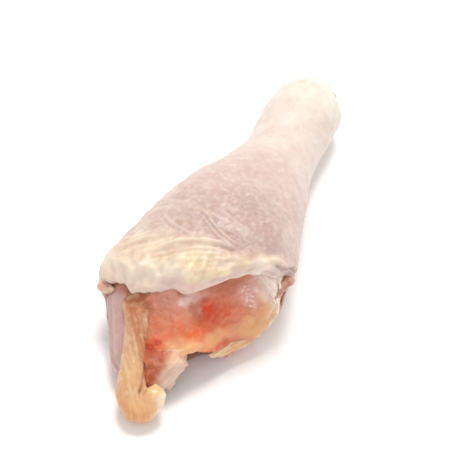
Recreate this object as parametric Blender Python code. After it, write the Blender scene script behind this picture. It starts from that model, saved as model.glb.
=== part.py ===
"""A raw chicken drumette: a sleeve of skin round a lump of meat, the elbow bone that runs into it from the
small end, the gristle band and knob of the shoulder joint at the cut end, and a flap of membrane beside it.

It lies on its underside. +Y runs along it to the small end, +X is its right side and Z is up from the surface
that it rests on. Sizes are in millimetres, and MM turns them to metres.
"""

import math

import bmesh
import bpy
import numpy as np

MM = 0.001
TURN = 2 * math.pi

# The body's own outline, skin included: along the axis, then the middle's offset, half the width, and the
# heights of the back and of the underside. The underside dips under the surface where the meat sags flat.
BODY = (
    (-50.0, 1.5, 2.0, 5.5, 2.5),
    (-44.0, 0.0, 4.8, 9.0, 0.8),
    (-37.0, -2.2, 6.8, 12.5, 0.2),
    (-30.0, -2.6, 10.4, 16.8, -0.2),
    (-23.0, -0.6, 16.2, 22.4, -0.5),
    (-15.0, 0.7, 17.9, 26.4, -0.8),
    (-4.0, 1.1, 16.2, 27.2, -0.9),
    (7.0, 0.8, 13.3, 24.6, -0.8),
    (16.0, 1.1, 10.2, 20.8, -0.6),
    (23.0, 0.9, 8.2, 17.8, -0.3),
    (31.0, 0.2, 7.8, 16.6, -0.1),
    (39.0, 0.0, 7.9, 16.2, -0.2),
    (43.8, 0.0, 7.1, 14.9, 0.6),
    (46.6, 0.0, 4.6, 12.4, 3.2),
)
BELLY_HEIGHT = 0.46  # where the section is widest, as a share of its height
SKIN = 1.5  # thickness of the skin with its fat
SKIN_RIM = 2.3  # and at the hem, where the fat swells
RIM_LENGTH = 12.0  # over which it swells
CORNER = math.radians(168.0)  # the hem stands out in a corner on the left side
CORNER_FLARE = 1.6
GAP = 0.3  # between touching solids

# How far the skin reaches at each angle, from the right side (0) over the back (90) and left side (180).
HEM = (
    (0.0, -8.0),
    (30.0, -11.0),
    (50.0, -15.8),
    (66.0, -20.6),
    (82.0, -24.8),
    (98.0, -25.8),
    (114.0, -26.8),
    (136.0, -25.0),
    (160.0, -23.6),
    (180.0, -25.0),
    (205.0, -30.5),
    (232.0, -35.6),
    (262.0, -35.4),
    (288.0, -27.6),
    (306.0, -23.4),
    (326.0, -15.0),
    (345.0, -9.6),
)
HEM_RIPPLE = 0.5  # how far its edge waves in and out
TIP = 46.6  # where the skin ends round the elbow

# The cut that took the shoulder off: a leaning face, turned to the right and the front.
CUT_HEADING = math.radians(-49.0)
CUT_LEAN = math.radians(25.0)
CUT_DEPTH = 23.2
PROW_REACH = 7.0  # how far the meat runs past that face beside the gristle
MEAT_ENDS = (41.0, -42.0)

# Centre lines as (x, y, z, half the width). The bone and the gristle are round, and the membrane is flat.
BONE = (
    (0.0, 45.6, 8.3, 0.0),
    (0.0, 45.0, 8.3, 2.9),
    (0.0, 43.4, 8.3, 4.7),
    (0.0, 40.5, 8.3, 5.1),
    (0.0, 36.5, 8.4, 4.3),
    (-0.2, 31.0, 8.8, 3.3),
    (-1.0, 20.0, 10.4, 2.9),
    (-1.6, 4.0, 12.8, 3.0),
    (-1.6, -8.0, 13.6, 3.8),
    (-1.6, -12.0, 13.8, 4.0),
    (-1.6, -15.0, 13.9, 2.8),
    (-1.6, -16.0, 13.9, 0.0),
)
GRISTLE = (
    (-11.6, -19.0, 14.6, 0.0),
    (-11.5, -20.0, 14.4, 1.6),
    (-10.9, -24.0, 13.9, 1.9),
    (-9.2, -29.0, 13.0, 2.0),
    (-6.2, -34.0, 11.1, 2.2),
    (-3.0, -38.2, 8.8, 3.0),
    (-0.6, -41.0, 7.2, 3.9),
    (1.7, -43.6, 6.0, 4.5),
    (3.5, -45.8, 5.3, 3.5),
    (4.2, -47.1, 5.0, 0.0),
)
MEMBRANE = (
    (4.2, -32.4, 11.4, 0.0),
    (4.6, -33.0, 10.6, 2.0),
    (5.3, -34.0, 7.8, 3.0),
    (5.3, -34.6, 5.0, 2.8),
    (4.8, -35.0, 2.4, 1.8),
    (4.4, -35.2, 0.9, 0.0),
)
MEMBRANE_FLATNESS = 0.13  # thickness as a share of the width
MEMBRANE_LEVEL = (0.75, 0.66, 0)  # the way that its width runs

ORIGIN = (0.1, -0.3, 0.0)  # the middle of the whole in plan, on the surface


def smooth_table(rows, at, period=None):
    """The table's values at each place, on a smooth curve through its rows."""
    rows = np.array(rows, float)
    at = np.asarray(at, float)
    if period:
        before, after = rows[-3:].copy(), rows[:3].copy()
        before[:, 0] -= period
        after[:, 0] += period
        rows = np.vstack((before, rows, after))
        at = np.mod(at, period)
    x, values = rows[:, 0], rows[:, 1:]
    slopes = np.gradient(values, x, axis=0)
    k = np.clip(np.searchsorted(x, at) - 1, 0, len(x) - 2)
    span = (x[k + 1] - x[k])[..., None]
    t = np.clip((at - x[k])[..., None] / span, 0, 1)
    ease = t * t * (3 - 2 * t)
    bend = span * t * (1 - t) * ((1 - t) * slopes[k] - t * slopes[k + 1])
    return values[k] * (1 - ease) + values[k + 1] * ease + bend


def smooth_step(x):
    x = np.clip(x, 0, 1)
    return x * x * (3 - 2 * x)


def section(y):
    """Middle (x, z) and reach (right, up, down) of the body's section at y."""
    middle, width, top, under = np.moveaxis(smooth_table(BODY, y), -1, 0)
    height = under + BELLY_HEIGHT * (top - under)
    return middle, height, width, top - height, height - under


def on_body(angle, y, inset=0.0):
    """Points on the body's surface, or that far inside it, as (..., 3) in millimetres."""
    middle, height, width, up, down = section(y)
    across, rise = np.cos(angle), np.sin(angle)
    reach = np.where(rise > 0, up, down)
    x = middle + np.maximum(width - inset, 0.05) * across
    z = height + np.maximum(reach - inset, 0.05) * rise
    return np.stack((x, y + 0 * x, np.maximum(z, np.maximum(inset, 0))), axis=-1)


def hem_at(angle):
    ripple = HEM_RIPPLE * np.sin(11 * angle) * np.sin(3 * angle + 1)
    return smooth_table(HEM, np.degrees(angle), 360.0)[..., 0] + ripple


def new_object(name, mesh, colour, roughness):
    """Links the mesh as an object with a material of its own."""
    bmesh.ops.remove_doubles(mesh, verts=mesh.verts, dist=1e-6)
    bmesh.ops.recalc_face_normals(mesh, faces=mesh.faces)
    data = bpy.data.meshes.new(name)
    mesh.to_mesh(data)
    mesh.free()
    data.shade_smooth()
    material = bpy.data.materials.new(name)
    material.use_nodes = True
    surface = material.node_tree.nodes["Principled BSDF"]
    surface.inputs["Base Color"].default_value = (*colour, 1)
    surface.inputs["Roughness"].default_value = roughness
    data.materials.append(material)
    made = bpy.data.objects.new(name, data)
    bpy.context.scene.collection.objects.link(made)
    return made


def warped_tube(around, along, place):
    """A grid rolled into a tube: place gives each vertex's point from its angle and its share of the way."""
    mesh = bmesh.new()
    bmesh.ops.create_grid(mesh, x_segments=around, y_segments=along, size=1)
    flat = np.array([vert.co[:2] for vert in mesh.verts])
    points = place((flat[:, 0] + 1) / 2 * TURN, (flat[:, 1] + 1) / 2)
    for vert, point in zip(mesh.verts, (points - ORIGIN) * MM):
        vert.co = point
    return mesh


def rod(rows, around, along, extra=0.0, flatness=1.0, level=(1, 0, 0)):
    """A rod with closed ends along a centre line, round or flattened. It is widest near the level direction."""
    rows = np.array(rows, float)
    steps = np.linalg.norm(np.diff(rows[:, :3], axis=0), axis=1)
    table = np.column_stack((np.concatenate(((0,), np.cumsum(steps))), rows))
    length = table[-1, 0]

    def place(angle, share):
        at = smooth_table(table, share * length)
        ahead = smooth_table(table, share * length + 0.05) - smooth_table(table, share * length - 0.05)
        run = ahead[:, :3] + np.array((0, 1e-9, 0))
        run = run / np.linalg.norm(run, axis=1)[:, None]
        over = np.cross(level, run)
        over = over / np.linalg.norm(over, axis=1)[:, None]
        side = np.cross(run, over)
        radius = np.maximum(at[:, 3], 0) + extra * (at[:, 3] > 0)
        closed = (share > 1e-6) & (share < 1 - 1e-6)
        radius = (radius * closed)[:, None]
        return at[:, :3] + radius * (np.cos(angle)[:, None] * side + flatness * np.sin(angle)[:, None] * over)

    return warped_tube(around, along, place)


def skin():
    """A sleeve with a rounded hem, thicker there, whose edge waves and stands out from the meat."""
    outer = [(share ** 1.2, 0.0, 0.0) for share in np.linspace(0, 1, 28)]
    rim = [(1.0, (1 - math.cos(a)) / 2, math.sin(a)) for a in np.radians((40, 80, 120, 155))]
    inner = [(share ** 1.2, 1.0, 0.0) for share in np.linspace(1, 0, 20)]
    lip = [(0.0, (1 + math.cos(a)) / 2, -math.sin(a)) for a in np.radians((45, 90, 135))]
    rows = np.array(outer + rim + inner + lip + outer[:1])

    def place(angle, share):
        along, depth, past = rows[np.rint(share * (len(rows) - 1)).astype(int)].T
        hem = hem_at(angle)
        y = TIP + (hem - TIP) * along
        swell = smooth_step(1 - (y - hem) / RIM_LENGTH)
        thick = SKIN + (SKIN_RIM - SKIN) * swell
        y = y - past * thick / 2
        waves = 0.3 * (1 + np.sin(9 * angle + 0.6) * np.sin(4 * angle))
        corner = CORNER_FLARE * np.exp(-((angle - CORNER) / math.radians(20)) ** 2)
        lift = swell * (SKIN_RIM - SKIN + waves + corner)
        return on_body(angle, y, depth * thick - lift)

    return new_object("skin", warped_tube(48, len(rows) - 1, place), (0.86, 0.63, 0.53), 0.4)


def meat():
    """The lump inside the skin, up to the cut face, with channels for the bone and the gristle."""
    facing = np.array((
        math.cos(CUT_LEAN) * math.cos(CUT_HEADING),
        math.cos(CUT_LEAN) * math.sin(CUT_HEADING),
        math.sin(CUT_LEAN),
    ))
    sideways = np.array((-math.sin(CUT_HEADING), math.cos(CUT_HEADING), 0))

    def place(angle, share):
        start, end = MEAT_ENDS
        y = start + (end - start) * share
        ends = np.sqrt(np.clip(np.minimum((start - y) / 4, (y - end) / 5), 0, 1))
        middle, height = section(y)[:2]
        centre = np.stack((middle, y, height), axis=-1)
        ray = (on_body(angle, y, SKIN + GAP) - centre) * ends[:, None]
        beside = centre @ sideways
        depth = CUT_DEPTH + PROW_REACH * smooth_step((-13 - beside) / 12)
        across = np.maximum(ray @ facing, 1e-6)
        reach = np.clip((depth - centre @ facing) / across, 0.02, 4)
        shrink = 1 / (1 + reach ** -9) ** (1 / 9)
        return centre + ray * shrink[:, None]

    made = new_object("meat", warped_tube(42, 44, place), (0.71, 0.28, 0.17), 0.35)
    for name, rows in (("bone", BONE), ("gristle", GRISTLE)):
        cutter = new_object(name + "_channel", rod(rows, 14, 28, extra=GAP), (0.5, 0.5, 0.5), 0.5)
        cutter.hide_render = True
        cutter.display_type = "WIRE"
        cut = made.modifiers.new(name + "_channel", "BOOLEAN")
        cut.operation = "DIFFERENCE"
        cut.object = cutter
    return made


def build():
    for old in list(bpy.data.objects):
        bpy.data.objects.remove(old)
    skin()
    meat()
    new_object("bone", rod(BONE, 14, 28), (0.86, 0.78, 0.66), 0.4)
    new_object("gristle", rod(GRISTLE, 16, 32), (0.84, 0.6, 0.37), 0.35)
    flap = rod(MEMBRANE, 14, 12, flatness=MEMBRANE_FLATNESS, level=MEMBRANE_LEVEL)
    new_object("membrane", flap, (0.82, 0.6, 0.5), 0.3)


build()
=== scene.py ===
"""The looks of a raw chicken drumette that lies on its underside: skin with plucked pores and a fatty hem,
moist meat at the cut end, the tan gristle band with its curled knob, membranes, and the elbow bone in the
small end.

Shapes are worked out in millimetres, with +Y towards the small end, and MM turns them to metres.
"""

import math

import bmesh
import bpy
import numpy as np
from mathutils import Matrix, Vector, bvhtree, kdtree, noise


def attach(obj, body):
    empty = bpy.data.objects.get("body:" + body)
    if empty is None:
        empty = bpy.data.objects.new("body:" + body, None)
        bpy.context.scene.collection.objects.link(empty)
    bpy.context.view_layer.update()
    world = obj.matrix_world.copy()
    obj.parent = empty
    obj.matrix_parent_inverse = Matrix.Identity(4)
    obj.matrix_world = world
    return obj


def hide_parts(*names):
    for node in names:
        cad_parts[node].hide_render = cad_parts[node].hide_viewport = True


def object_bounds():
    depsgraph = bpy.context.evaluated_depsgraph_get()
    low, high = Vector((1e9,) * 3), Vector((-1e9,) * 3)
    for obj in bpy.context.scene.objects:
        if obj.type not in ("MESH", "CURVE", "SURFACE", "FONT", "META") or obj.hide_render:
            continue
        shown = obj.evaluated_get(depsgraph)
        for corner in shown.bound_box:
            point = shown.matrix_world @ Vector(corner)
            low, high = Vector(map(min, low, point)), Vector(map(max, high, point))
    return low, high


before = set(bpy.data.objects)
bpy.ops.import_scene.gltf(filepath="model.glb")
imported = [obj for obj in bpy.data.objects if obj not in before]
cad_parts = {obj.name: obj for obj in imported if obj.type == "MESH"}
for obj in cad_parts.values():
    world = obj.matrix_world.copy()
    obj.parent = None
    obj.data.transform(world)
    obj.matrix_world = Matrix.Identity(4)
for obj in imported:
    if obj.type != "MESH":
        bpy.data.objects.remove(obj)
cad_low, cad_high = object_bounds()

# ----------------------------------------------------------------------------------------------------------
# The skin is a soft sleeve with yellow fat under it, cut through with the joint and drawn back from it.
# Its hem is thick, lumpy and puckered on top, with stretched folds beside it, and plucked feathers leave
# rows of small raised pores.

MM = 0.001
TURN = 2 * math.pi

# Along the axis: the middle's offset, half the width, and the heights of the back and of the underside.
BODY = (
    (-50.0, 1.5, 2.0, 5.5, 2.5),
    (-44.0, 0.0, 4.8, 9.0, 0.8),
    (-37.0, -2.2, 6.8, 12.5, 0.2),
    (-30.0, -2.6, 10.4, 16.8, -0.2),
    (-23.0, -0.6, 16.2, 22.4, -0.5),
    (-15.0, 0.7, 17.9, 26.4, -0.8),
    (-4.0, 1.1, 16.2, 27.2, -0.9),
    (7.0, 0.8, 13.3, 24.6, -0.8),
    (16.0, 1.1, 10.2, 20.8, -0.6),
    (23.0, 0.9, 8.2, 17.8, -0.3),
    (31.0, 0.2, 7.8, 16.6, -0.1),
    (39.0, 0.0, 7.9, 16.2, -0.2),
    (43.8, 0.0, 7.1, 14.9, 0.6),
    (46.6, 0.0, 4.6, 12.4, 3.2),
)
BELLY_HEIGHT = 0.46  # where the section is widest, as a share of its height
ORIGIN = (0.1, -0.3, 0.0)  # the table's place for the middle of the whole
TIP = 46.6  # where the skin ends round the elbow

# How far the skin reaches at each angle, from the right side (0) over the back (90) and left side (180).
HEM = (
    (0.0, -6.8),
    (30.0, -11.9),
    (48.0, -15.8),
    (60.0, -20.0),
    (72.0, -22.9),
    (85.0, -24.4),
    (98.0, -25.3),
    (114.0, -26.1),
    (126.0, -25.5),
    (138.0, -24.5),
    (150.0, -23.5),
    (163.0, -22.6),
    (180.0, -24.6),
    (205.0, -30.5),
    (232.0, -35.6),
    (262.0, -35.4),
    (288.0, -24.6),
    (306.0, -18.6),
    (326.0, -12.4),
    (345.0, -6.8),
)
SKIN = 1.5  # thickness of the skin with its fat
SKIN_RIM = 2.3  # and at the hem on top, where the fat swells
SKIN_FILM = 0.8  # and below and at the sides, where it clings to the meat
RIM_LENGTH = 12.0  # over which it swells
CORNER = 158.0  # degrees: the hem stands out in a corner on the left side
CORNER_FLARE = 1.1  # and that far
STILL_HEM = 152.0  # degrees: near here the hem has no waves

PORE_START = -34.0  # the first row's place along the axis
PORE_ROWS = 1.7  # between rows of pores
PORE_STEP = 1.9  # between pores of one row
PORE_STRAY = (0.15, 0.22)  # as a share of the step, and along the axis
PORE_RADIUS = 0.42
PORE_HEIGHT = 0.14

# Folds as (height, width, then points as (angle in degrees, place along the axis)).
FOLDS = (
    (0.32, 0.34, (126, -10.8), (114, -13.0), (104, -14.2), (96, -14.8)),
    (0.34, 0.28, (101, -8.0), (90, -10.2), (80, -11.9), (66, -12.9), (50, -12.2), (38, -10.6)),
    (0.28, 0.26, (95, -10.0), (86, -11.9), (76, -13.2), (60, -13.5), (46, -12.5)),
    (0.36, 0.34, (118, -20.4), (106, -17.8), (92, -15.9), (75, -14.4), (56, -13.6), (44, -12.6)),
    (0.20, 0.28, (110, -17.4), (98, -15.9), (84, -14.6), (68, -13.9)),
    (0.26, 0.34, (124, -22.6), (106, -19.8), (88, -17.2), (72, -15.5), (54, -14.0)),
    (0.22, 0.38, (128, -23.8), (110, -21.8), (94, -19.5), (78, -17.1), (60, -15.0)),
    (0.28, 0.28, (72, -15.0), (60, -13.9), (49, -12.8), (34, -9.8)),
    (0.20, 0.28, (68, -16.4), (56, -14.6), (44, -12.2), (30, -8.8)),
    (0.22, 0.40, (152, -22.0), (140, -18.8), (128, -17.2), (114, -16.6)),
    (0.18, 0.38, (158, -20.4), (145, -16.8), (131, -14.2)),
    (0.18, 0.38, (140, -22.8), (128, -20.0), (117, -18.4)),
    (0.16, 0.45, (164, -18.0), (151, -13.6), (139, -9.8)),
    (0.30, 0.70, (87, -24.6), (82, -21.8), (84, -19.0)),
    (0.36, 0.70, (79, -23.6), (76, -20.4), (79, -17.4)),
    (0.34, 0.65, (70, -21.2), (70, -18.6), (74, -16.0)),
    (0.28, 0.55, (62, -18.6), (63, -16.5), (68, -14.8)),
    (0.22, 0.70, (98, -25.0), (92, -22.4), (92, -19.6)),
    (0.18, 0.65, (110, -25.4), (105, -22.8), (103, -20.1)),
)
FAN = (30.0, -11.0)  # the place from which fine wrinkles spread to the left
FAN_RADIUS = 16.0  # of the body there, which turns angles to lengths

SKIN_AROUND = 340  # vertices round the sleeve
CROWDING = 0.45  # how much closer together they are on top
SPARSEST = math.radians(265.0)  # and where they are furthest apart


def smooth_table(rows, at, period=None):
    """The table's values at each place, on a smooth curve through its rows."""
    rows = np.array(rows, float)
    at = np.asarray(at, float)
    if period:
        before, after = rows[-3:].copy(), rows[:3].copy()
        before[:, 0] -= period
        after[:, 0] += period
        rows = np.vstack((before, rows, after))
        at = np.mod(at, period)
    x, values = rows[:, 0], rows[:, 1:]
    slopes = np.gradient(values, x, axis=0)
    k = np.clip(np.searchsorted(x, at) - 1, 0, len(x) - 2)
    span = (x[k + 1] - x[k])[..., None]
    t = np.clip((at - x[k])[..., None] / span, 0, 1)
    ease = t * t * (3 - 2 * t)
    bend = span * t * (1 - t) * ((1 - t) * slopes[k] - t * slopes[k + 1])
    return values[k] * (1 - ease) + values[k + 1] * ease + bend


def smooth_step(x):
    x = np.clip(x, 0, 1)
    return x * x * (3 - 2 * x)


def bell(x):
    return np.exp(-x * x)


def section(y):
    """Middle (x, z) and reach (right, up, down) of the body's section at y."""
    middle, width, top, under = np.moveaxis(smooth_table(BODY, y), -1, 0)
    height = under + BELLY_HEIGHT * (top - under)
    return middle, height, width, top - height, height - under


def on_body(angle, y, inset=0.0):
    """Points on the body's surface, or that far inside it, as (..., 3) in millimetres."""
    middle, height, width, up, down = section(y)
    across, rise = np.cos(angle), np.sin(angle)
    reach = np.where(rise > 0, up, down)
    x = middle + np.maximum(width - inset, 0.05) * across
    z = height + np.maximum(reach - inset, 0.05) * rise
    return np.stack((x, y + 0 * x, np.maximum(z, np.maximum(inset, 0))), axis=-1)


def hem_at(angle):
    """Where the hem is: the main line, its waves, and small ragged nicks."""
    still = bell((np.degrees(angle) % 360 - STILL_HEM) / 18)
    waves = 0.55 * np.sin(11 * angle) * np.sin(3 * angle + 1) * (1 - still)
    nicks = 0.22 * np.sin(23 * angle + 2.0 * np.sin(7 * angle)) * np.sin(5 * angle + 0.4)
    return smooth_table(HEM, np.degrees(angle), 360.0)[..., 0] + waves + nicks


def between(angle, start, end, soft=15.0):
    """1 where the angle, in degrees, is between the two, fading to 0 over the soft width outside."""
    middle, half = (start + end) / 2, (end - start) / 2
    off = np.abs((angle - middle + 180) % 360 - 180)
    return smooth_step((half + soft - off) / soft)


def rumple(points, size, octaves=3, seed=0):
    """Smooth noise from about -1 to 1, whose largest lumps are that many millimetres apart."""
    return np.array([noise.fractal(p, 1.0, 2.0, octaves) for p in points / size + 17.3 * seed])


def along_line(points, line):
    """Each point's distance from a line through places, in millimetres, and its share of the way."""
    nearest = np.full(len(points), 1e9)
    share = np.zeros(len(points))
    for k, (start, end) in enumerate(zip(line[:-1], line[1:])):
        run = end - start
        part = np.clip((points - start) @ run / (run @ run), 0, 1)
        gap = np.linalg.norm(points - start - part[:, None] * run, axis=1)
        closer = gap < nearest
        nearest[closer] = gap[closer]
        share[closer] = (k + part[closer]) / (len(line) - 1)
    return nearest, share


def colour(code):
    """An sRGB hex colour as linear red, green, blue and alpha."""
    parts = [int(code[k : k + 2], 16) / 255 for k in (1, 3, 5)]
    return tuple(p / 12.92 if p <= 0.04045 else ((p + 0.055) / 1.055) ** 2.4 for p in parts) + (1.0,)


def painted(base, layers):
    """The colour at each vertex: colours laid over one another, each as (mask, strength, hex)."""
    paint = np.array(colour(base))
    for mask, strength, code in layers:
        share = np.clip(mask * strength, 0, 1)[:, None]
        paint = paint * (1 - share) + np.array(colour(code)) * share
    return paint


def set_vertices(mesh, points, paint):
    """Moves the mesh's vertices to those points, in millimetres, and paints them."""
    layers = mesh.verts.layers.float_color
    layer = layers.get("paint") or layers.new("paint")
    for vert, point, shade in zip(mesh.verts, (points - ORIGIN) * MM, paint):
        vert.co = point
        vert[layer] = shade


def warped_tube(around, along, place):
    """A grid rolled into a tube. place gives the vertices' points in millimetres, and their colours, from
    their angles and their shares of the way along."""
    mesh = bmesh.new()
    bmesh.ops.create_grid(mesh, x_segments=around, y_segments=along, size=1)
    flat = np.array([vert.co[:2] for vert in mesh.verts])
    points, paint = place((flat[:, 0] + 1) / 2 * TURN, (flat[:, 1] + 1) / 2)
    set_vertices(mesh, points, paint)
    bmesh.ops.remove_doubles(mesh, verts=mesh.verts, dist=1e-6)
    bmesh.ops.recalc_face_normals(mesh, faces=mesh.faces)
    return mesh


def new_piece(name, mesh, material, slot, *nodes):
    """Links the mesh as a smooth piece that rides on the part and stands for those nodes."""
    data = bpy.data.meshes.new(name)
    mesh.to_mesh(data)
    mesh.free()
    data.shade_smooth()
    data.materials.append(material)
    made = bpy.data.objects.new(name, data)
    bpy.context.scene.collection.objects.link(made)
    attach(made, "root")
    if nodes:
        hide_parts(*nodes)
    return made


def add_node(tree, kind, inputs=None, **settings):
    """Adds a shader node with its settings, each input a value or another node's output."""
    made = tree.nodes.new("ShaderNode" + kind)
    for key, value in settings.items():
        setattr(made, key, value)
    for key, value in (inputs or {}).items():
        if isinstance(value, bpy.types.NodeSocket):
            tree.links.new(value, made.inputs[key])
        else:
            made.inputs[key].default_value = value
    return made


# What all moist flesh shares: it is mostly water, and red light spreads furthest in it.
FLESH_IOR = 1.4
FLESH_GLOW = 0.35  # the share of the light that sinks in and comes out again
FLESH_SPREAD = (1.0, 0.42, 0.28)  # how far red, green and blue light go, as shares of the depth
WET_ROUGHNESS = 0.16  # of the film of water on it


def flesh(name, mottles, roughness, coat, depth, bump, bump_size, pale=0.95):
    """A moist food material on the painted colours. Each mottle is (size in mm, strength, hex). coat is its
    wetness, and depth how far red light goes in, in millimetres. The fine bumps are that high and wide, in
    millimetres. pale is how much of the colours' lightness is left: every colour is dimmed by it as painted
    shade, to offset lamps bright enough to keep the floor white."""
    material = bpy.data.materials.new(name)
    material.use_nodes = True
    tree = material.node_tree
    surface = tree.nodes["Principled BSDF"]
    place = add_node(tree, "TexCoord").outputs["Object"]
    mixed = add_node(tree, "Attribute", attribute_name="paint").outputs["Color"]
    for size, strength, code in mottles:
        lumps = add_node(tree, "TexNoise", {"Vector": place, "Scale": 1 / (size * MM), "Detail": 3.0})
        limits = {0: lumps.outputs["Fac"], 1: 0.48, 2: 0.68, 4: strength}
        spread = add_node(tree, "MapRange", limits, clamp=True)
        mix = add_node(tree, "Mix", {0: spread.outputs[0], 6: mixed, 7: colour(code)}, data_type="RGBA")
        mixed = mix.outputs[2]
    # All the colours dimmed as painted shade, to offset the bright lamps.
    dimmed_paint = add_node(tree, "HueSaturation", {"Color": mixed, "Value": pale})
    tree.links.new(dimmed_paint.outputs[0], surface.inputs["Base Color"])
    surface.inputs["Roughness"].default_value = roughness
    surface.inputs["IOR"].default_value = FLESH_IOR
    surface.inputs["Subsurface Weight"].default_value = FLESH_GLOW
    surface.inputs["Subsurface Radius"].default_value = FLESH_SPREAD
    surface.inputs["Subsurface Scale"].default_value = depth * MM
    surface.inputs["Coat Weight"].default_value = coat
    surface.inputs["Coat Roughness"].default_value = WET_ROUGHNESS
    grain = add_node(tree, "TexNoise", {"Vector": place, "Scale": 1 / (bump_size * MM), "Detail": 4.0})
    raised = add_node(tree, "Bump", {"Height": grain.outputs["Fac"], "Strength": 1.0, "Distance": bump * MM})
    tree.links.new(raised.outputs[0], surface.inputs["Normal"])
    return material


def pores():
    """Places of the pores in rows round the body, in a tree, with each one's strength."""
    draw = np.random.default_rng(7)
    places, strengths = [], []
    for row, y in enumerate(np.arange(PORE_START, TIP - 2.5, PORE_ROWS)):
        _, _, width, up, down = section(y)
        round_it = TURN * math.sqrt((width ** 2 + ((up + down) / 2) ** 2) / 2)
        count = int(round_it / PORE_STEP)
        for k in range(count):
            angle = (k + 0.5 * (row % 2) + draw.normal(0, PORE_STRAY[0])) / count * TURN
            places.append(on_body(angle, y + draw.normal(0, PORE_STRAY[1])))
            strengths.append(draw.uniform(0.2, 1.0))
    tree = kdtree.KDTree(len(places))
    for k, place in enumerate(places):
        tree.insert(place, k)
    tree.balance()
    return tree, np.array(strengths)


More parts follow.
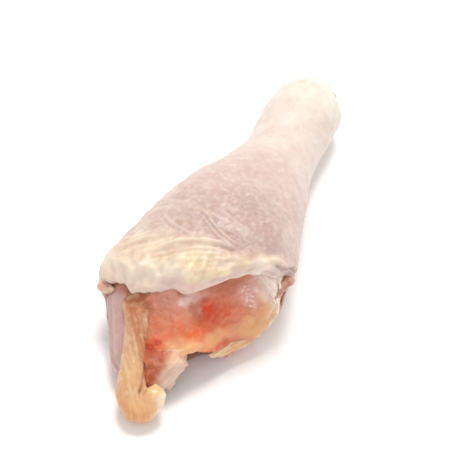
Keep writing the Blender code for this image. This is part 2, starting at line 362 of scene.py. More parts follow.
def skin_relief(degrees, y, from_hem, flat):
    """How far the skin stands out at each place, in millimetres, and its colours: mauve over the muscle,
    cream over the small end, yellow where fat swells the hem, and painted shade and highlights on its
    folds, wrinkles, creases and hem edge."""
    top = between(degrees, 40, 160, 25)
    band_width = 2.6 + 5.4 * smooth_step((degrees - 50) / 28)
    band = smooth_step(1 - (from_hem - 2.5) / band_width) * top
    ragged = rumple(flat, 5.0, 3, seed=1)
    broad = rumple(flat, 11.0, 2, seed=2)
    small = rumple(flat, 2.4, 3, seed=3)

    tree, strengths = pores()
    found = [tree.find(p) for p in flat]
    gap = np.array([f[2] for f in found])
    strength = strengths[[f[1] for f in found]] * (1 - 0.9 * band) * smooth_step((TIP - 1 - y) / 9 + 0.1)
    plain = 0.6 + 0.4 * between(degrees, 20, 100, 30)
    pore = bell(gap / PORE_RADIUS) * strength * plain * smooth_step(0.9 + 1.2 * broad + 0.6 * ragged)
    relief = PORE_HEIGHT * pore + 0.30 * broad + 0.10 * small

    left_of = (np.radians(degrees) - math.radians(FAN[0])) * FAN_RADIUS
    ray = np.arctan2(y - FAN[1], left_of)
    far = np.hypot(y - FAN[1], left_of)
    rays = np.stack((ray * 14, far / 14, 0 * far), axis=-1)
    spread = smooth_step((far - 5) / 8) * smooth_step((46 - far) / 14) * smooth_step((0.45 - ray) / 0.35)
    spread = spread * top * smooth_step((from_hem - 0.5) / 2)
    wrinkles = rumple(rays, 1.0, 2, seed=4) * spread
    relief += 0.36 * wrinkles

    lumps = rumple(flat, 2.8, 2, seed=5)
    relief += band * (0.25 + 0.95 * lumps * (0.35 + 0.65 * between(degrees, 30, 132, 15)))
    creases = bell(rumple(flat, 7.0, 3, seed=6) / 0.05) * smooth_step((24 - y) / 14)
    relief -= 0.09 * creases * (1 - 0.5 * band)

    ridge = np.zeros(len(flat))
    groove = np.zeros(len(flat))
    for height, width, *line in FOLDS:
        at = np.array(line, float)
        path = smooth_table(np.column_stack((np.linspace(0, 1, len(at)), at)), np.linspace(0, 1, 16))
        near, share = along_line(flat, on_body(np.radians(path[:, 0]), path[:, 1]))
        near = np.maximum(near + 0.12 * small, 0)
        taper = np.sin(np.clip(share, 0.001, 0.999) * math.pi) ** 0.7
        crest = bell(near / width) * taper
        sides = bell((near - 2.0 * width) / (0.8 * width)) * taper
        relief += 1.4 * height * (crest - 0.5 * sides)
        ridge = np.maximum(ridge, height / 0.4 * crest)
        groove = np.maximum(groove, height / 0.4 * sides)

    cream = smooth_step((y - 10 + 5 * ragged) / 18)
    tip = smooth_step((y - 34 + 3 * ragged) / 8)
    yellow = 0.40 + 0.62 * bell((degrees - 76) / 24) + 0.12 * bell((degrees - 118) / 16)
    fat = np.clip(band * (yellow + 0.35 * ragged + 0.25 * lumps), 0, 1)
    along_folds = smooth_step(1 - np.abs(from_hem - 8 - 2 * ragged) / 4) * between(degrees, 84, 135, 15)
    muscle = bell((degrees - 66) / 46) * bell((y + 9.5) / 11)
    muscle = np.maximum(muscle, 0.5 * bell((degrees - 122) / 14) * bell((y + 7) / 5))
    muscle = np.clip(muscle * 1.35 + 0.2 * ragged, 0, 1) * (1 - 0.8 * cream) * (1 - band)
    low_lump = smooth_step(0.2 - 1.6 * lumps) * band * between(degrees, 30, 132, 15)
    sheer = between(degrees, 20, 46, 8) * smooth_step(1.2 - from_hem / 3.5 + ragged)
    high_lump = smooth_step(1.6 * lumps) * band
    under = between(degrees, 180, 262, 12) * smooth_step(1 - (from_hem - 8) / 14)
    blush = np.clip(0.5 * broad + 0.3 * ragged + 0.1, 0, 1)
    wing = band * between(degrees, 105, 165, 12)
    fringe = smooth_step(1.2 - from_hem / (1.4 - 1.2 * lumps))
    fringe = fringe * (0.3 * top + 0.7 * between(degrees, 55, 92, 10))
    right_end = between(degrees, -12, 30, 10) * smooth_step(1 - from_hem / 3.5)
    tuck = bell((from_hem - 1.7 - 0.2 * small) / 0.45) * between(degrees, -14, 32, 8)
    relief -= 0.5 * tuck
    veined = bell((degrees - 84) / 11) * bell((y + 8.5) / 3.5)
    hem_edge_highlight = bell((from_hem - 1.6) / 2.2) * between(degrees, 90, 168, 10)
    paint = painted("#e1c7bb", (
        (muscle, 0.95, "#c1a39b"),
        (blush, 0.45, "#e2bcae"),
        (veined, 0.7, "#c4a49e"),
        (cream, 0.85, "#f8e8db"),
        (tip, 0.85, "#fcf3e3"),
        (wing, 0.75, "#ebc3af"),
        (along_folds, 0.85, "#fdeccf"),
        (fat, 0.97, "#ffedbc"),
        (low_lump, 0.24, "#e6c4ae"),
        (high_lump, 0.50, "#fff4d8"),
        (under, 0.9, "#c39c94"),
        # Painted highlight along the front of the hem on the left.
        (hem_edge_highlight, 0.75, "#fff2de"),
        # Painted highlight on the fold crests and painted shade in the hollows beside them.
        (ridge, 0.6, "#fdf0dc"),
        (groove, 0.36, "#cba08c"),
        # Painted shade in the wrinkles' troughs.
        (np.clip(-wrinkles, 0, 1), 0.34, "#d2a490"),
        # Painted shade in the fine creases.
        (creases, 0.12, "#cba296"),
        # Painted highlight on the wrinkles' crests.
        (np.clip(wrinkles, 0, 1), 0.35, "#fae8d2"),
        (sheer, 0.8, "#fff0e4"),
        (fringe, 0.85, "#ecccc6"),
        (right_end, 0.55, "#d4b0a6"),
        # Painted shade in the tuck's groove at the hem's right end.
        (tuck, 0.80, "#ae8c84"),
        # Paler follicles, with a painted highlight on each raised pore.
        (pore, 0.42, "#f9ecdd"),
    ))
    return relief, paint


def skin():
    """The sleeve: its outside, its hem, its inside, and its lip round the elbow."""
    outer = [(share ** 1.1, 0.0, 0.0) for share in np.linspace(0, 1, 256)]
    rim = [(1.0, (1 - math.cos(a)) / 2, math.sin(a)) for a in np.radians(np.linspace(15, 165, 12))]
    inner = [(share, 1.0, 0.0) for share in np.linspace(1, 0, 12)]
    lip = [(0.0, (1 + math.cos(a)) / 2, -math.sin(a)) for a in np.radians(np.linspace(20, 160, 6))]
    rows = np.array(outer + rim + inner + lip + outer[:1])

    def place(turn, share):
        angle = turn + CROWDING * np.sin(turn - SPARSEST)
        degrees = np.degrees(angle) % 360
        along, depth, past = rows[np.rint(share * (len(rows) - 1)).astype(int)].T
        hem = hem_at(angle)
        tip = TIP + 0.35 * np.sin(3 * angle + 1) * np.sin(4 * angle) + 0.18 * np.sin(9 * angle)
        y = tip + (hem - tip) * along
        from_hem = y - hem
        swell = smooth_step(1 - from_hem / RIM_LENGTH)
        on_top = between(degrees, 4, 172, 12)
        edge = smooth_step(1 - from_hem / 2.4) * between(degrees, 12, 142, 15)
        rim_thick = SKIN_FILM + (SKIN_RIM - SKIN_FILM) * on_top * (1 - 0.7 * edge)
        waves = 0.3 * (1 + np.sin(9 * angle + 0.6) * np.sin(4 * angle))
        corner = CORNER_FLARE * bell((degrees - CORNER) / 13)
        thick = SKIN + (rim_thick + 0.9 * corner - SKIN) * swell
        lower_right = between(degrees, 292, 330, 12)
        lift = swell * (SKIN_RIM - SKIN + waves) * np.maximum(on_top, lower_right) + swell * corner
        lift = lift * (1 - edge) - 0.5 * edge
        flat = on_body(angle, y, -lift)
        relief, paint = skin_relief(degrees, y, from_hem, flat)
        relief = relief * (1 - smooth_step(depth * 2))
        points = on_body(angle, y - past * thick / 2, depth * thick - lift - relief)
        inside = smooth_step(depth * 2 - 0.6)[:, None]
        raw = smooth_step(0.75 + rumple(flat, 1.6, 2, seed=27))
        red = (raw * smooth_step((y - TIP + 1.2) / 1.2) * smooth_step(depth * 3 - 0.6))[:, None]
        paint = paint * (1 - inside) + np.array(colour("#c98f78")) * inside
        paint = paint * (1 - red) + np.array(colour("#cf8468")) * red
        return points, paint

    # Raw chicken skin, scalded and plucked: a thin, half-clear sheet over fat. It is mottled like marble
    # from what lies under it, and only damp, so it has a soft sheen.
    material = flesh(
        "raw chicken skin",
        ((5.5, 0.28, "#dbb2a6"), (3.4, 0.32, "#f3e2d0"), (2.0, 0.14, "#c6a79e"), (1.0, 0.26, "#fbeee0")),
        roughness=0.46, coat=0.12, depth=1.4, bump=0.05, bump_size=0.5, pale=0.90,
    )
    sleeve = warped_tube(SKIN_AROUND, len(rows) - 1, place)
    new_piece("skin_sleeve", sleeve, material, "skin", "skin")


skin()

# ----------------------------------------------------------------------------------------------------------
# The meat fills the sleeve up to the cut, where its face leans to the right and the front. It is pale raw
# muscle under a clear moist membrane, red where blood has gathered, orange lower down, and with a margin of
# tan fat. Behind the flap and the lip it is hollowed out. Painted shade darkens those hollows, the meat
# beside the band and just under the hem, and painted glints and a highlight lie on the wet membrane.

CUT_HEADING = math.radians(-49.0)  # where the face looks to, from the right side round to the front
CUT_LEAN = math.radians(25.0)  # and how far up
CUT_DEPTH = 23.9  # from the middle of the whole to the face
PROW_REACH = 7.0  # how much further the left end of the face comes out
HOLLOW_DEPTH = 4.5  # behind the flap and the lip
MEAT_ENDS = (41.0, -42.0)  # along the axis
MEAT_GRID = 300  # vertices round it and along it
GROUND = 0.05  # the lowest place of all but the skin

FACING = np.array((
    math.cos(CUT_LEAN) * math.cos(CUT_HEADING),
    math.cos(CUT_LEAN) * math.sin(CUT_HEADING),
    math.sin(CUT_LEAN),
))
SIDEWAYS = np.array((-math.sin(CUT_HEADING), math.cos(CUT_HEADING), 0))
FACE_UP = np.cross(FACING, SIDEWAYS)

# Patches of colour on the cut face as (hex, strength, across, up, half width, half height), in millimetres.
PATCHES = (
    ("#d6a88a", 0.90, -25.0, 8.6, 5.4, 5.0),
    ("#d4946e", 0.85, -22.6, 4.4, 2.6, 5.0),
    # Painted shade on the meat beside the band's right edge.
    ("#b97a5e", 0.85, -20.4, 7.6, 2.2, 4.0),
    ("#d6866c", 0.75, -17.4, 7.4, 4.4, 3.6),
    ("#c08474", 0.85, -17.2, 8.4, 2.6, 1.6),
    # Painted shade, darkest, right against the band's right edge.
    ("#a8603f", 0.80, -21.8, 6.0, 1.2, 2.4),
    ("#e89a68", 0.90, -13.0, -4.6, 9.0, 3.0),
    ("#c8745a", 0.80, -5.4, 8.2, 4.2, 1.8),
    ("#d87c60", 0.80, -4.6, 5.6, 3.6, 2.4),
    ("#e8b0a4", 0.90, -0.2, 5.4, 2.8, 3.2),
    ("#e8b892", 0.80, 3.4, 4.0, 2.4, 3.6),
    ("#ffe8dc", 0.95, 2.8, 7.2, 2.6, 3.2),
    ("#fff6ea", 0.95, 5.0, 4.4, 1.4, 4.0),
    ("#ea7038", 0.98, -13.0, 0.8, 6.8, 3.0),
    ("#e2744a", 0.90, -19.6, 2.4, 3.2, 3.0),
    ("#e2774c", 0.90, -6.4, 1.4, 4.0, 2.6),
    ("#cc7450", 0.70, -20.2, 4.6, 2.4, 2.0),
    ("#d0643c", 0.60, -13.0, 2.8, 2.2, 1.4),
    ("#e0643e", 0.90, -8.4, 3.8, 2.8, 2.2),
    # The whitish membrane under the hem, lightened further with a painted highlight.
    ("#ffdad2", 0.95, -12.9, 7.5, 2.4, 1.1),
    ("#eaaca0", 0.70, -10.8, 6.9, 2.2, 1.0),
    ("#e4a870", 0.95, 0.0, -2.0, 4.4, 3.0),
    ("#e2b488", 0.95, 3.4, -3.4, 3.0, 4.0),
    ("#f0a878", 0.90, -18.4, -0.2, 4.2, 1.2),
    ("#f8c088", 0.95, -16.4, -2.0, 5.4, 1.3),
    ("#f2a86c", 0.85, -9.0, -2.4, 4.5, 1.3),
    ("#f8dfba", 0.95, 4.9, 0.2, 0.8, 2.6),
    ("#f8dfba", 0.95, 3.4, -4.2, 0.8, 1.4),
    ("#f8dfba", 0.95, 1.2, -5.8, 1.6, 0.6),
    ("#de6238", 0.95, -7.8, -4.3, 3.6, 0.8),
    ("#fae2be", 0.95, -8.0, -5.9, 4.4, 0.6),
    ("#c46840", 0.95, -23.4, -4.2, 2.8, 4.6),
    ("#cc4a2c", 0.80, -9.6, 5.6, 1.5, 1.2),
    ("#e64e18", 0.85, -9.8, 3.8, 1.7, 1.8),
    ("#e84408", 0.85, -9.9, 4.3, 1.0, 1.2),
    ("#da4a18", 0.85, -6.0, 2.0, 0.9, 0.7),
    ("#e4683a", 0.90, -22.6, 0.5, 2.0, 1.3),
    ("#c03c10", 0.95, -21.6, 0.9, 0.80, 0.60),
    ("#c03c10", 0.95, -23.3, 0.0, 0.70, 0.60),
)


def meat():
    """A lump lofted along the axis, each ray from its middle stopped by the sleeve or by the cut. Returns
    its surface, for thin pieces to lie on."""
    def place(angle, share):
        start, end = MEAT_ENDS
        degrees = np.degrees(angle) % 360
        y = start + (end - start) * share ** 0.45
        ends = np.sqrt(np.clip(np.minimum((start - y) / 4, (y - end) / 5), 0, 1))
        middle, height = section(y)[:2]
        centre = np.stack((middle, y, height), axis=-1)
        near_hem = smooth_step(1 - (y - hem_at(angle)) / 8)
        inset = 1.3 - 0.8 * (1 - between(degrees, 35, 165, 15)) * smooth_step((2 - y) / 6)
        inset = inset - 0.8 * between(degrees, 296, 332, 8) * near_hem
        inset = inset + 0.9 * between(degrees, 342, 366, 8) * near_hem
        ray = (on_body(angle, y, inset) - centre) * ends[:, None]
        beside = centre @ SIDEWAYS
        depth = CUT_DEPTH + PROW_REACH * smooth_step((-13 - beside) / 12)
        across = np.maximum(ray @ FACING, 1e-6)
        reach = np.clip((depth - centre @ FACING) / across, 0.02, 4)
        shrink = 1 / (1 + reach ** -12) ** (1 / 12)
        points = centre + ray * shrink[:, None]

        sideways, up, out = points @ SIDEWAYS, points @ FACE_UP, points @ FACING
        wander = rumple(points, 3.6, 3, seed=8)
        fine = rumple(points, 1.3, 2, seed=9)
        layers = []
        for code, strength, right, over, wide, high in PATCHES:
            far = np.hypot((sideways - right) / wide, (up - over) / high)
            layers.append((smooth_step((1.5 - far + 0.50 * wander + 0.25 * fine) / 1.1), strength, code))
        left_edge = -26.6 - 0.28 * np.maximum(-up, 0) + 1.5 * smooth_step(up / 4)
        left_strip = smooth_step((left_edge - sideways) / 0.6) * smooth_step((10.5 - up) / 2.5)
        layers.append((left_strip, 0.95, "#c29a92"))
        # Painted shade on the meat just under the hem on the left, where the hem overhangs it.
        shade_below_hem = bell((y - hem_at(angle) + 1.1) / 1.3) * between(degrees, 112, 162, 8)
        layers.append((shade_below_hem, 0.95, "#a0532e"))
        # Small raised beads on the wet membrane, with painted glints on them.
        beads_and_glints = rumple(points, 0.55, 1, seed=20)
        beads_and_glints = beads_and_glints * bell(np.hypot((sideways + 0.9) / 1.6, (up - 5.2) / 3.4))
        layers.append((smooth_step(beads_and_glints * 3 - 0.2), 0.75, "#fdf0ea"))
        lowest = -2.9 - 0.42 * np.maximum(sideways + 14.5, 0)
        under_lip = smooth_step((sideways + 18) / 2) * smooth_step((-7.0 - sideways) / 2)
        under_lip = under_lip * smooth_step((lowest - up) / 1.2)
        behind_flap = smooth_step((sideways + 26.4) / 1.5) * smooth_step((-15 - sideways) / 2)
        behind_flap = behind_flap * smooth_step((-4.4 - up) / 1.6)
        hollow = np.maximum(under_lip, behind_flap)
        # Painted shade in the hollows behind the flap and under the lip.
        layers.append((hollow, 0.9, "#7c4c38"))
        underside = smooth_step((2.4 - points[:, 2]) / 1.2) * smooth_step((-16 - sideways) / 4)
        layers.append((underside, 0.9, "#bd958c"))
        paint = painted("#da8a6c", layers)
        sunk = 0.5 * bell(np.hypot((sideways + 9) / 2.6, (up - 3.4) / 2.0))
        sunk = sunk + 0.9 * bell(np.hypot((sideways + 23.4) / 2.0, (up + 2.5) / 3.4))
        sunk = sunk + 1.0 * smooth_step((-22.0 - sideways) / 2.5) * smooth_step((8 - up) / 3)
        sunk = sunk + HOLLOW_DEPTH * hollow
        bulge = 1.3 * bell(np.hypot((sideways + 4) / 9.0, (up - 1.5) / 7.0))
        relief = bulge - sunk + 0.36 * wander + 0.10 * fine + 0.25 * np.clip(beads_and_glints, 0, 1)
        points = points + (relief * smooth_step((out - 14) / 6))[:, None] * FACING
        points[:, 2] = np.maximum(points[:, 2], GROUND)
        return points, paint

    # Raw poultry muscle, cut clean under its membrane: light sinks in and comes out red, the fibres show
    # only as a faint mottle, and the wet membrane gives sharp glints.
    material = flesh(
        "raw poultry muscle",
        ((1.6, 0.16, "#f2b48c"), (4.0, 0.14, "#c86a4c"), (0.7, 0.10, "#f6ccb0")),
        roughness=0.34, coat=0.35, depth=2.2, bump=0.06, bump_size=0.7,
    )
    mesh = warped_tube(MEAT_GRID, MEAT_GRID, place)
    surface = bvhtree.BVHTree.FromBMesh(mesh)
    new_piece("meat_lump", mesh, material, "meat", "meat")
    return surface


meat_surface = meat()

# ----------------------------------------------------------------------------------------------------------
# The gristle is a band of tendon that fans out from under the hem and runs down to the joint's cartilage,
# where it swells to a knob and curls over to the right. It grew onto the meat, and its lower end was cut
# free.

# The centre line as (x, y, z, half the width, half the thickness).
BAND = (
    (-9.6, -23.4, 17.8, 0.0, 0.0),
    (-9.0, -24.1, 17.7, 2.0, 0.6),
    (-7.2, -26.0, 17.0, 3.2, 0.7),
    (-6.3, -27.6, 15.8, 3.9, 0.9),
    (-5.6, -29.2, 14.3, 3.6, 1.3),
    (-4.8, -32.6, 12.2, 2.6, 1.8),
    (-4.1, -35.2, 10.5, 2.4, 2.0),
    (-3.1, -38.1, 8.2, 2.7, 2.4),
    (-2.2, -40.6, 6.3, 3.0, 2.8),
    (-1.2, -42.6, 4.8, 3.1, 3.0),
    (0.2, -43.8, 3.7, 2.9, 3.0),
    (1.6, -43.4, 3.4, 2.7, 2.9),
    (2.6, -42.3, 4.2, 2.6, 2.8),
    (3.0, -41.2, 5.6, 2.4, 2.5),
    (2.9, -40.2, 6.8, 1.9, 1.9),
    (2.6, -39.4, 7.7, 0.0, 0.0),
)


def rod(rows, around, along, out=(0, 0, 1)):
    """A closed rod along a centre line. Its half thickness is measured near the out direction."""
    rows = np.array(rows, float)
    steps = np.linalg.norm(np.diff(rows[:, :3], axis=0), axis=1)
    table = np.column_stack((np.concatenate(((0,), np.cumsum(steps))), rows))
    length = table[-1, 0]

    def place(angle, share):
        at = smooth_table(table, share * length)
        ahead = smooth_table(table, share * length + 0.05) - smooth_table(table, share * length - 0.05)
        run = ahead[:, :3] + np.array((0, 1e-9, 0))
        run = run / np.linalg.norm(run, axis=1)[:, None]
        side = np.cross(run, out)
        side = side / np.linalg.norm(side, axis=1)[:, None]
        over = np.cross(side, run)
        closed = (share > 1e-6) & (share < 1 - 1e-6)
        wide = np.maximum(at[:, 3], 0.02) * closed
        thick = np.maximum(at[:, 4], 0.02) * closed
        spoke = (wide * np.cos(angle))[:, None] * side + (thick * np.sin(angle))[:, None] * over
        return at[:, :3] + spoke, np.ones((len(share), 4))

    return warped_tube(around, along, place)


def melded(meshes, voxel, smoothing):
    """The meshes grown together into one closed skin of that voxel size in millimetres, and smoothed."""
    data = bpy.data.meshes.new("rough")
    joined = bmesh.new()
    for mesh in meshes:
        mesh.to_mesh(data)
        joined.from_mesh(data)
        mesh.free()
    joined.to_mesh(data)
    joined.free()
    rough = bpy.data.objects.new("rough", data)
    bpy.context.scene.collection.objects.link(rough)
    remesh = rough.modifiers.new("meld", "REMESH")
    remesh.mode = "VOXEL"
    remesh.voxel_size = voxel * MM
    graph = bpy.context.evaluated_depsgraph_get()
    mesh = bmesh.new()
    mesh.from_mesh(rough.evaluated_get(graph).to_mesh())
    bpy.data.objects.remove(rough)
    bpy.data.meshes.remove(data)
    for _ in range(smoothing):
        axes = {"use_axis_x": True, "use_axis_y": True, "use_axis_z": True}
        bmesh.ops.smooth_vert(mesh, verts=mesh.verts, factor=0.5, **axes)
    return mesh


def finished(mesh, dress):
    """Moves and paints a melded mesh. dress gives how far each vertex stands out, and its colour."""
    mesh.normal_update()
    points = np.array([vert.co for vert in mesh.verts]) / MM + ORIGIN
    normals = np.array([vert.normal for vert in mesh.verts])
    relief, paint = dress(points)
    points = points + relief[:, None] * normals
    points[:, 2] = np.maximum(points[:, 2], GROUND)
    set_vertices(mesh, points, paint)
    return mesh


# The crease where the toe of the knob is folded back against the band.
TOE_FOLD = ((-0.6, -36.8, 9.4), (0.2, -38.6, 8.6), (0.8, -40.4, 8.0), (0.8, -42.4, 7.2))


def gristle_dress(points):
    """Strands along the band, a cream toe, warmer low down, and brown where it leaves the meat.
    Painted shade darkens its right side, the toe's crease and its top under the hem, and a painted
    highlight lightens its left edge.
    """
    sideways, up, out = points @ SIDEWAYS, points @ FACE_UP, points @ FACING
    strands = rumple(np.stack((sideways / 0.6, up / 7.0, out / 3.0), axis=-1), 1.0, 3, seed=10)
    patches = rumple(points, 3.2, 3, seed=11)
    toe = smooth_step((sideways + 27.0) / 2.5) * smooth_step((-5.0 - up) / 2)
    root = smooth_step((sideways + 26.2 - 0.2 * np.minimum(up, 0)) / 1.2) * smooth_step((up + 3.8) / 2.4)
    band_top_shade = smooth_step((up - 6.8) / 1.2)
    fold = bell(along_line(points, np.array(TOE_FOLD))[0] / 0.5)
    top = smooth_step((up + 2.0) / 5)
    left = smooth_step((-26.4 - sideways) / 1.2) * top
    low = smooth_step((-6 - up) / 4) * (1 - toe)
    heel = bell((sideways + 29.0) / 1.8) * bell((up + 11.5) / 3.0)
    toe_edge = toe * smooth_step((sideways + 25.2) / 1.2) * smooth_step((-7.0 - up) / 1.5)
    paint = painted("#deb082", (
        (np.clip(0.5 + patches, 0, 1), 0.35, "#d99b66"),
        (top, 0.85, "#c89474"),
        # Reddish brown on the band's right side where it meets the meat: partly its colour, partly painted
        # shade.
        (root, 0.90, "#bc7048"),
        # Painted highlight along the band's left edge.
        (left, 0.50, "#e0ba9a"),
        (low, 0.55, "#eeb47c"),
        (heel, 0.7, "#e0965c"),
        (toe, 0.9, "#f0cc9c"),
        (toe_edge, 0.9, "#fff0d4"),
        (np.clip(0.2 + strands, 0, 1) * (1 - toe), 0.32, "#f6deb8"),
        (np.clip(-strands - 0.1, 0, 1) * (1 - toe), 0.30, "#c08a62"),
        # Painted shade in the toe's crease.
        (fold, 0.8, "#a8683e"),
        # Painted shade on the band's top, where the hem overhangs it.
        (band_top_shade, 0.9, "#964e2c"),
    ))
    return 0.10 * strands * (1 - toe) + 0.22 * patches - 0.55 * fold, paint


# Tendon and cartilage, pulled clean: dense and waxy, so light goes in a little way and the sheen is satin.
# The two mottles are its cream fibres and its amber fat.
tendon = flesh(
    "tendon and cartilage",
    ((1.2, 0.25, "#f2d8b0"), (3.0, 0.25, "#d6925e")),
    roughness=0.42, coat=0.2, depth=2.0, bump=0.04, bump_size=0.6,
)
band = melded((rod(BAND, around=48, along=200, out=FACING - 0.7 * SIDEWAYS),), voxel=0.2, smoothing=4)
new_piece("gristle_band", finished(band, gristle_dress), tendon, "gristle", "gristle")

# ----------------------------------------------------------------------------------------------------------
# The membrane flap is a scrap of the joint's thin, whitish lining. It tore when the shoulder was pulled
# away, and hangs from the meat beside the knob down to the surface.

# From its top edge down, each row from left to right, as (x, y, z).
FLAP = (
    ((-1.2, -37.4, 9.0), (2.0, -36.4, 9.4), (4.4, -34.3, 8.8), (6.4, -32.0, 7.2)),
    ((-0.6, -38.8, 7.2), (1.6, -37.8, 7.0), (3.8, -35.9, 6.2), (5.5, -33.5, 5.7)),
    ((0.4, -39.2, 5.2), (1.9, -37.9, 4.6), (3.4, -36.4, 3.9), (4.7, -34.7, 3.5)),
    ((1.0, -38.8, 3.6), (2.0, -37.7, 2.9), (3.0, -36.6, 2.4), (3.8, -35.6, 2.0)),
)
# Above it, where it still lies on the cut face, as (across, up).
FLAP_TOP = ((-25.2, -0.4), (-22.0, -0.4), (-19.3, -0.8), (-16.2, -1.8))
FLAP_FOLD = ((-25.4, -2.8), (-22.0, -2.9), (-19.3, -3.0), (-16.0, -3.4))
OUTSIDE = 60.0  # from the middle of the whole, well beyond the cut face
BESIDE_MEAT = 20.0  # how far out a place is put that has no meat behind it


def over_meat(across, up, lift):
    """The place that far in front of the meat, at that place on its cut face."""
    start = FACING * OUTSIDE + SIDEWAYS * across + FACE_UP * up
    found = meat_surface.ray_cast(Vector((start - ORIGIN) * MM), Vector(-FACING))[0]
    if found is None:
        found = (FACING * BESIDE_MEAT + SIDEWAYS * across + FACE_UP * up - ORIGIN) * MM
    return np.array(found) / MM + ORIGIN + FACING * lift


def sheet(rows, across, down, thickness, ragged, seed):
    """A thin sheet through rows of places, thickest inside and thin at its ragged edges."""
    grid = np.array(rows, float)
    halves = []
    for side in (1, -1):
        mesh = bmesh.new()
        bmesh.ops.create_grid(mesh, x_segments=across, y_segments=down, size=1)
        u, v = (np.array([vert.co[:2] for vert in mesh.verts]).T + 1) / 2
        rim = np.minimum(np.minimum(u, 1 - u), np.minimum(v, 1 - v)) * 2
        tears = rumple(np.stack((u, v, 0 * u), axis=-1), 0.12, 3, seed=seed) * ragged * (1 - rim) ** 3
        u = np.clip(u + tears * (2 * u - 1), -0.2, 1.2)
        v = np.clip(v + tears * (2 * v - 1) * (v > 0.5), 0, 1.2)

        def at(u, v):
            down_it = np.linspace(0, 1, len(grid))
            lines = [smooth_table(np.column_stack((np.linspace(0, 1, len(row)), row)), u) for row in grid]
            found = np.zeros((len(u), 3))
            for k in range(len(u)):
                column = np.column_stack((down_it, [line[k] for line in lines]))
                found[k] = smooth_table(column, v[k])
            return found

        points = at(u, v)
        facing = np.cross(at(u + 0.01, v) - points, at(u, v + 0.01) - points)
        facing = facing / np.maximum(np.linalg.norm(facing, axis=1), 1e-9)[:, None]
        waves = 0.22 * rumple(points, 2.2, 2, seed=seed + 1)
        wall = thickness / 2 * np.sqrt(np.clip(rim * 4, 0, 1))
        points = points + (waves + side * wall)[:, None] * facing
        points[:, 2] = np.maximum(points[:, 2], GROUND)
        for vert, point in zip(mesh.verts, (points - ORIGIN) * MM):
            vert.co = point
        halves.append(mesh)
    data = bpy.data.meshes.new("half")
    halves[1].to_mesh(data)
    halves[0].from_mesh(data)
    halves[1].free()
    bpy.data.meshes.remove(data)
    bmesh.ops.remove_doubles(halves[0], verts=halves[0].verts, dist=1e-6)
    bmesh.ops.recalc_face_normals(halves[0], faces=halves[0].faces)
    return halves[0]


def lining_dress(points):
    """Whitish strands that run down to the left, and orange flesh where the lining leaves the hollow."""
    sideways, up = points @ SIDEWAYS, points @ FACE_UP
    slant = sideways - 0.68 * up
    across_it = 0.84 * up - 0.55 * sideways
    along_it = 0.84 * sideways + 0.55 * up
    strands = rumple(np.stack((across_it / 0.9, along_it / 6, 0 * up), axis=-1), 1.0, 2, seed=15)
    ragged = rumple(points, 2.4, 2, seed=18)
    root = smooth_step((-17.9 - slant + 0.7 * ragged) / 2.2)
    paint = painted("#dfb8a2", (
        (np.clip(0.1 + strands, 0, 1), 0.6, "#f6e2d2"),
        (smooth_step((up + 5.0) / 3.0), 0.95, "#f8caa0"),
        (smooth_step((-16.8 - slant + 0.7 * ragged) / 2.4), 0.6, "#dea482"),
        (root, 0.95, "#c46038"),
        (bell(np.hypot((sideways + 21.6) / 0.9, (up - 0.6) / 0.7)), 0.9, "#b2341a"),
        (bell(np.hypot((sideways + 23.3) / 0.9, (up + 0.3) / 0.7)), 0.9, "#b2341a"),
    ))
    return 0.14 * strands, paint


# The joint's lining, torn off wet: a thin, whitish sheet of strands that shines more than the meat.
lining = flesh(
    "joint lining",
    ((1.2, 0.15, "#f8e4d4"),),
    roughness=0.34, coat=0.5, depth=0.6, bump=0.03, bump_size=0.5,
)
rows = [[over_meat(a, b, lift) for a, b in line] for line, lift in ((FLAP_TOP, -0.1), (FLAP_FOLD, 0.4))]
flap = sheet(rows + list(FLAP), across=80, down=90, thickness=0.7, ragged=0.14, seed=13)
new_piece("membrane_flap", finished(flap, lining_dress), lining, "membrane", "membrane")

# ----------------------------------------------------------------------------------------------------------
# The veil is a shred of the clear membrane that lined the skin. It stayed fixed under the hem at the right,
# lies over the rim of the meat there, and dries to whitish strands.

# Places on the cut face as (across, up), from the hem down, each row from left to right.
VEIL = (
    ((-0.6, 10.0), (1.8, 9.8), (4.2, 8.8), (6.8, 7.0)),
    ((0.6, 7.2), (2.6, 6.8), (4.8, 6.0), (6.8, 4.8)),
    ((2.2, 4.6), (3.5, 4.2), (4.9, 3.4), (6.4, 2.6)),
    ((3.6, 1.6), (4.3, 1.0), (4.9, 0.6), (5.8, 0.4)),
    ((4.3, -0.8), (4.7, -1.2), (5.0, -1.4), (5.3, -1.4)),
)
# Each strand's radius, and its places on the cut face.
STRANDS = (
    (0.11, (1.2, 9.4), (2.4, 6.8), (3.9, 3.6), (4.5, 1.0)),
    (0.17, (3.4, 9.2), (3.9, 6.4), (4.7, 4.0), (4.9, 1.4)),
    (0.26, (5.6, 8.2), (5.8, 5.6), (5.6, 3.0), (5.3, 0.2), (4.8, -2.0)),
)


def strand_dress(points):
    """Whitish all over, with nothing raised."""
    return np.zeros(len(points)), np.tile(colour("#fde6d6"), (len(points), 1))


def veil_dress(points):
    """White and stringy at the right, and clear towards the left."""
    sideways, up = points @ SIDEWAYS, points @ FACE_UP
    strands = rumple(np.stack((sideways + 0.5 * up, 0.1 * up, 0 * up), axis=-1), 0.9, 2, seed=21)
    paint = painted("#ffe8dc", ((np.clip(strands + 0.2, 0, 1), 0.8, "#fff7ee"),))
    paint[:, 3] = np.clip(0.95 + 0.5 * strands, 0.6, 1) * smooth_step((sideways - 3.7 + 0.44 * up) / 2.8)
    return 0.04 * strands, paint


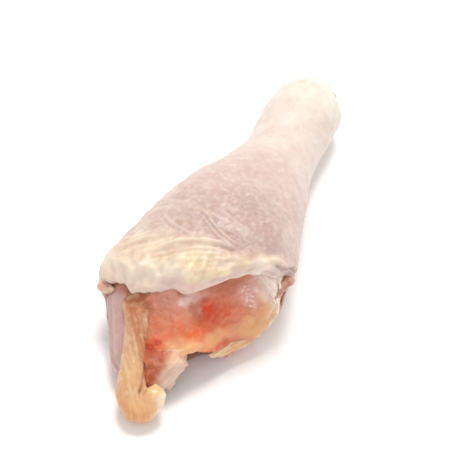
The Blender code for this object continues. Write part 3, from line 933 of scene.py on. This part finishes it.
# A clear membrane, still wet: too thin for light to spread in, so it only veils the meat and shines. Its
# paint also says how clear it is.
film = flesh(
    "clear wet membrane", (),
    roughness=0.36, coat=1.0, depth=0.05, bump=0.02, bump_size=0.5, pale=1.0,
)
film_surface = film.node_tree.nodes["Principled BSDF"]
film_surface.inputs["Subsurface Weight"].default_value = 0.0
film_paint = next(node for node in film.node_tree.nodes if node.type == "ATTRIBUTE")
film.node_tree.links.new(film_paint.outputs["Alpha"], film_surface.inputs["Alpha"])
rows = [[over_meat(a, b, 0.25) for a, b in row] for row in VEIL]
veil = sheet(rows, across=60, down=90, thickness=0.2, ragged=0.10, seed=22)
new_piece("membrane_veil", finished(veil, veil_dress), film, "membrane")
threads = []
for radius, *line in STRANDS:
    places = [over_meat(a, b, 0.5) for a, b in line]
    widths = [0.0] + [radius] * (len(line) - 2) + [0.0]
    ends = [tuple(p) + (w, 0.8 * w) for p, w in zip(places, widths)]
    near_end = tuple(places[-1] * 0.94 + places[-2] * 0.06) + (0.5 * radius, 0.4 * radius)
    threads.append(rod(ends[:-1] + [near_end] + ends[-1:], around=12, along=60))
strands = finished(melded(threads, voxel=0.12, smoothing=2), strand_dress)
new_piece("membrane_strands", strands, film, "membrane")

# ----------------------------------------------------------------------------------------------------------
# Trimmings are what the knife left round the cut: a torn lip of fat under the right of the face, a scrap of
# dark meat under the hem's right end, and a curl of skin in the corner at the left. They share the materials
# of the pieces they were cut from.

# Their centre lines, as the band's is given.
LIP = (
    (8.6, -27.8, 7.0, 0.0, 0.0),
    (9.4, -26.5, 5.9, 0.8, 0.4),
    (10.7, -24.2, 5.2, 1.2, 0.5),
    (12.5, -21.6, 4.9, 1.1, 0.5),
    (14.0, -19.6, 5.0, 0.8, 0.4),
    (15.0, -17.8, 5.6, 0.0, 0.0),
)
SCRAP = (
    (16.6, -12.4, 11.6, 0.0, 0.0),
    (16.9, -12.0, 12.2, 0.6, 0.8),
    (17.2, -10.6, 13.4, 1.0, 1.2),
    (17.6, -9.2, 14.0, 1.2, 1.3),
    (18.4, -8.0, 13.8, 1.0, 1.0),
    (19.1, -7.2, 14.0, 0.0, 0.0),
)
CURL = (
    (-17.4, -24.4, 12.8, 0.0, 0.0),
    (-17.0, -24.8, 12.8, 0.7, 0.7),
    (-15.6, -24.9, 12.6, 1.0, 1.1),
    (-14.4, -24.9, 13.0, 0.9, 0.8),
    (-13.4, -24.8, 13.6, 0.0, 0.0),
)


def trimming_dress(code, pale):
    """Lumpy and mottled between the two colours."""
    def dress(points):
        lumps = rumple(points, 1.7, 3, seed=24)
        return 0.2 * lumps, painted(code, ((np.clip(0.3 + 1.4 * lumps, 0, 1), 0.8, pale),))
    return dress


def lip_dress(points):
    """Torn lengthways into cream and orange strips."""
    sideways, up, out = points @ SIDEWAYS, points @ FACE_UP, points @ FACING
    over_it = up - 0.25 * sideways
    strips = rumple(np.stack((over_it / 0.5, sideways / 5, out / 2), axis=-1), 1.0, 2, seed=25)
    paint = painted("#eab688", (
        (np.clip(strips + 0.1, 0, 1), 0.7, "#fbe6c8"),
        (np.clip(-strips, 0, 1), 0.7, "#d48a60"),
    ))
    return 0.18 * strips + 0.15 * rumple(points, 1.2, 2, seed=26), paint


lip = melded((rod(LIP, around=24, along=90, out=FACING),), voxel=0.2, smoothing=2)
new_piece("fat_lip", finished(lip, lip_dress), tendon, "gristle")
muscle = bpy.data.materials["raw poultry muscle"]
scrap = melded((rod(SCRAP, around=24, along=40),), voxel=0.2, smoothing=2)
new_piece("meat_scrap", finished(scrap, trimming_dress("#b87c68", "#dcb4a2")), muscle, "meat")
sleeve_skin = bpy.data.materials["raw chicken skin"]
curl = melded((rod(CURL, around=24, along=60),), voxel=0.2, smoothing=2)
new_piece("skin_curl", finished(curl, trimming_dress("#e4b098", "#fbdcc8")), sleeve_skin, "skin")

# ----------------------------------------------------------------------------------------------------------
# The bone runs through the meat. It was parted at the elbow, so that its end, two rounded heads under a
# smooth cap of white cartilage, sits in the small opening of the skin.

# Its centre line, as the band's is given.
BONE = (
    (0.0, 47.0, 7.8, 0.0, 0.0),
    (0.0, 46.7, 7.8, 1.8, 1.6),
    (0.0, 45.8, 7.8, 3.2, 3.0),
    (0.0, 44.4, 7.8, 4.3, 4.1),
    (0.0, 42.6, 8.0, 5.0, 4.9),
    (0.0, 40.5, 8.3, 5.0, 5.0),
    (0.0, 36.5, 8.4, 4.3, 4.3),
    (-0.2, 31.0, 8.8, 3.3, 3.3),
    (-1.0, 20.0, 10.4, 2.9, 2.9),
    (-1.6, 4.0, 12.8, 3.0, 3.0),
    (-1.6, -8.0, 13.6, 3.8, 3.8),
    (-1.6, -12.0, 13.8, 4.0, 4.0),
    (-1.6, -15.0, 13.9, 2.8, 2.8),
    (-1.6, -16.0, 13.9, 0.0, 0.0),
)


def bone_dress(points):
    """Two rounded heads with a groove between, white all over."""
    groove = bell((points[:, 0] + 0.6) / 1.1) * smooth_step((points[:, 1] - 41) / 3)
    relief = 0.12 * rumple(points, 2.5, 2, seed=17) - 0.9 * groove
    return relief, np.ones((len(points), 4))


# Joint cartilage, smooth and wet: milky and glossy, with a pink blush where blood shows through.
cap = flesh(
    "joint cartilage",
    ((1.2, 0.2, "#e6c2b2"),),
    roughness=0.3, coat=0.4, depth=1.2, bump=0.03, bump_size=0.6,
)
bone = finished(rod(BONE, around=72, along=140), bone_dress)
new_piece("elbow_bone", bone, cap, "bone", "bone")

# ----------------------------------------------------------------------------------------------------------
# The stage is a white surface under a large soft light from the back, with a weaker one from the front, and
# a camera that looks down on the piece.

FLOOR = 3.0  # half its width, in metres
FLOOR_GLOW = 0.04  # the light that it gives off
ROOM_LIGHT = 0.52  # and that comes from all round
floor_mesh = bmesh.new()
bmesh.ops.create_grid(floor_mesh, x_segments=1, y_segments=1, size=FLOOR)
floor_data = bpy.data.meshes.new("floor")
floor_mesh.to_mesh(floor_data)
floor_mesh.free()
floor = bpy.data.objects.new("floor", floor_data)
bpy.context.scene.collection.objects.link(floor)
# Opal acrylic, matt and lit faintly from below: it stays white round the piece, and shadows on it are soft.
acrylic = bpy.data.materials.new("lit opal acrylic")
acrylic.use_nodes = True
acrylic_surface = acrylic.node_tree.nodes["Principled BSDF"]
acrylic_surface.inputs["Base Color"].default_value = colour("#fcfbfb")
acrylic_surface.inputs["Roughness"].default_value = 0.9
acrylic_surface.inputs["Emission Color"].default_value = colour("#ffffff")
acrylic_surface.inputs["Emission Strength"].default_value = FLOOR_GLOW
floor_data.materials.append(acrylic)

VIEW_AZIMUTH = math.radians(25.0)
VIEW_ELEVATION = math.radians(50.0)
VIEW_DISTANCE = 0.62
FRAME_WIDTH = 0.094  # across the picture, at the middle of the piece

middle = (cad_low + cad_high) / 2
outward = Vector((
    math.sin(VIEW_AZIMUTH) * math.cos(VIEW_ELEVATION),
    -math.cos(VIEW_AZIMUTH) * math.cos(VIEW_ELEVATION),
    math.sin(VIEW_ELEVATION),
))
camera = bpy.data.objects.new("camera", bpy.data.cameras.new("camera"))
bpy.context.scene.collection.objects.link(camera)
camera.data.sensor_width = 36.0
camera.data.lens = camera.data.sensor_width * VIEW_DISTANCE / FRAME_WIDTH
camera.location = middle + outward * VIEW_DISTANCE
camera.rotation_euler = (-outward).to_track_quat("-Z", "Y").to_euler()
bpy.context.scene.camera = camera


def add_light(name, kind, place, energy, **settings):
    """A light that shines at the piece from that place."""
    lamp = bpy.data.lights.new(name, kind)
    lamp.energy = energy
    for key, value in settings.items():
        setattr(lamp, key, value)
    made = bpy.data.objects.new(name, lamp)
    made.location = place
    made.rotation_euler = (middle - Vector(place)).to_track_quat("-Z", "Y").to_euler()
    bpy.context.scene.collection.objects.link(made)


add_light("window", "SUN", (-0.08, 0.36, 0.90), energy=2.12, angle=math.radians(24))
add_light("fill", "SUN", (0.25, -0.50, 0.72), energy=0.60, angle=math.radians(60))

world = bpy.data.worlds.new("room")
bpy.context.scene.world = world
world.use_nodes = True
sky = world.node_tree.nodes["Background"]
sky.inputs["Color"].default_value = colour("#ffffff")
sky.inputs["Strength"].default_value = ROOM_LIGHT
bpy.context.scene.view_settings.view_transform = "Standard"
